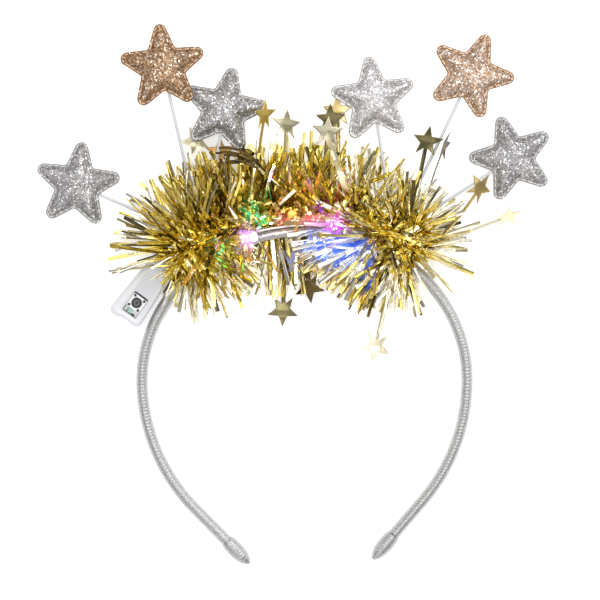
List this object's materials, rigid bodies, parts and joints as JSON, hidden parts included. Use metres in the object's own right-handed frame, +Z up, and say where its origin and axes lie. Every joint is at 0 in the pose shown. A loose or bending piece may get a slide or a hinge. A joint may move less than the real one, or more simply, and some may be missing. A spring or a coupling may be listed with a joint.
{
  "type": "light-up star headband",
  "caption": "Thread-wrapped headband with a gold tinsel garland, padded glitter stars on sticks, punched foil stars, small lights and a battery box with a push switch.",
  "frame": {"origin": "middle of the part's outline on the surface it lies on", "axes": "+Z up from that surface, out of the front of the headband; +Y from the band's tips to its crown and stars; +X to the right as seen from the front"},
  "size_m": [0.2088, 0.2214, 0.0439],
  "materials": {
    "silver_thread": "metallic thread wound in close turns",
    "gold_foil": "mirror-bright metallised film",
    "silver_glitter": "coarse glitter on padded cloth",
    "rose_glitter": "coarse glitter on padded cloth",
    "white_stick": "satin",
    "clear_wire": "clear sleeve",
    "white_plastic": "slightly milky, glossy",
    "green_board": "solder mask",
    "switch_plate": "bright plate",
    "black_plastic": "satin",
    "green_light": "lit, clear",
    "violet_light": "lit, clear",
    "orange_light": "lit, clear",
    "magenta_light": "lit, clear",
    "blue_light": "lit, clear"
  },
  "bodies": {
    "headband_set": {"headband": "silver_thread", "end_cap_left": "silver_thread", "end_cap_right": "silver_thread", "tinsel_garland": "gold_foil", "light_wire": "clear_wire", "battery_box": "white_plastic", "circuit_board": "green_board", "switch_body": "switch_plate", "glitter_star_1": "silver_glitter", "stick_1": "white_stick", "glitter_star_2": "rose_glitter", "stick_2": "white_stick", "glitter_star_3": "silver_glitter", "stick_3": "white_stick", "glitter_star_4": "silver_glitter", "stick_4": "white_stick", "glitter_star_5": "rose_glitter", "stick_5": "white_stick", "glitter_star_6": "silver_glitter", "stick_6": "white_stick", "light_1": "green_light", "light_2": "violet_light", "light_3": "green_light", "light_4": "orange_light", "light_5": "magenta_light", "light_6": "blue_light", "foil_star_01": "gold_foil", "foil_star_02": "gold_foil", "foil_star_03": "gold_foil", "foil_star_04": "gold_foil", "foil_star_05": "gold_foil", "foil_star_06": "gold_foil", "foil_star_07": "gold_foil", "foil_star_08": "gold_foil", "foil_star_09": "gold_foil", "foil_star_10": "gold_foil", "foil_star_11": "gold_foil", "foil_star_12": "gold_foil", "foil_star_13": "gold_foil", "foil_star_14": "gold_foil", "foil_star_15": "gold_foil"},
    "switch_button": {"switch_plunger": "black_plastic"}
  },
  "joints": [
    {"name": "switch_press", "type": "slide", "parent": "headband_set", "child": "switch_button", "axis": [0, 0, -1], "range_m": [0, 0.00025], "stiffness_N_per_m": 400, "springref_m": -0.0005}
  ]
}
